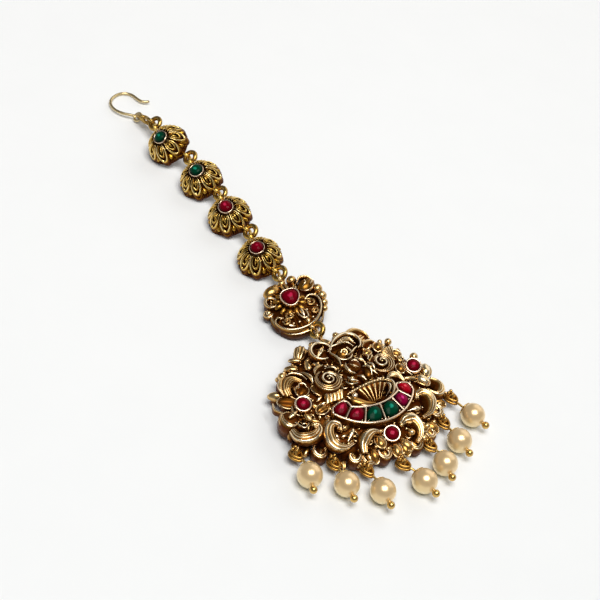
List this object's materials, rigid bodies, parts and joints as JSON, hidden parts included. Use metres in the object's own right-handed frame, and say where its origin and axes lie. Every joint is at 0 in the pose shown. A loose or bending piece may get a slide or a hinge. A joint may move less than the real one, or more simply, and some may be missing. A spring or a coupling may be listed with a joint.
{
  "type": "maang tikka",
  "caption": "Temple-style hair ornament lying on its back: wire hook, chain of domed flowers, medallion, and a crescent-set pendant fringed with pearl drops.",
  "frame": {"origin": "middle of the pendant's flat back, on the surface that the ornament lies on", "axes": "+Z out of the pendant's face, +Y along the chain towards the hook, +X to the wearer's left"},
  "size_m": [0.0441, 0.1392, 0.0083],
  "materials": {
    "antique_gold": "antiqued gold, worn bright on the ridges and dark brown in the recesses",
    "ring_gold": "polished antique gold wire",
    "polished_gold": "polished gold",
    "pale_gold": "pale gold wire, satin",
    "ruby": "polished cabochon, deep red",
    "emerald": "polished cabochon, deep green",
    "pearl": "champagne pearl with soft lustre"
  },
  "bodies": {
    "root": {"arc_stone_1": "ruby", "arc_stone_2": "ruby", "arc_stone_3": "emerald", "arc_stone_4": "emerald", "arc_stone_5": "ruby", "arc_stone_6": "ruby", "flower_1": "antique_gold", "flower_2": "antique_gold", "flower_3": "antique_gold", "flower_4": "antique_gold", "flower_stone_1": "emerald", "flower_stone_2": "emerald", "flower_stone_3": "ruby", "flower_stone_4": "ruby", "hair_hook": "pale_gold", "headpin_1": "polished_gold", "headpin_2": "polished_gold", "headpin_3": "polished_gold", "headpin_4": "polished_gold", "headpin_5": "polished_gold", "headpin_6": "polished_gold", "headpin_7": "polished_gold", "hook_ring": "ring_gold", "link_ring_0": "ring_gold", "link_ring_1": "ring_gold", "link_ring_2": "ring_gold", "link_ring_3": "ring_gold", "link_ring_4": "ring_gold", "link_ring_5": "ring_gold", "medallion": "antique_gold", "medallion_stone": "ruby", "pearl_1": "pearl", "pearl_2": "pearl", "pearl_3": "pearl", "pearl_4": "pearl", "pearl_5": "pearl", "pearl_6": "pearl", "pearl_7": "pearl", "pendant": "antique_gold", "ruby_bottom": "ruby", "ruby_left": "ruby", "ruby_right": "ruby"}
  },
  "joints": []
}
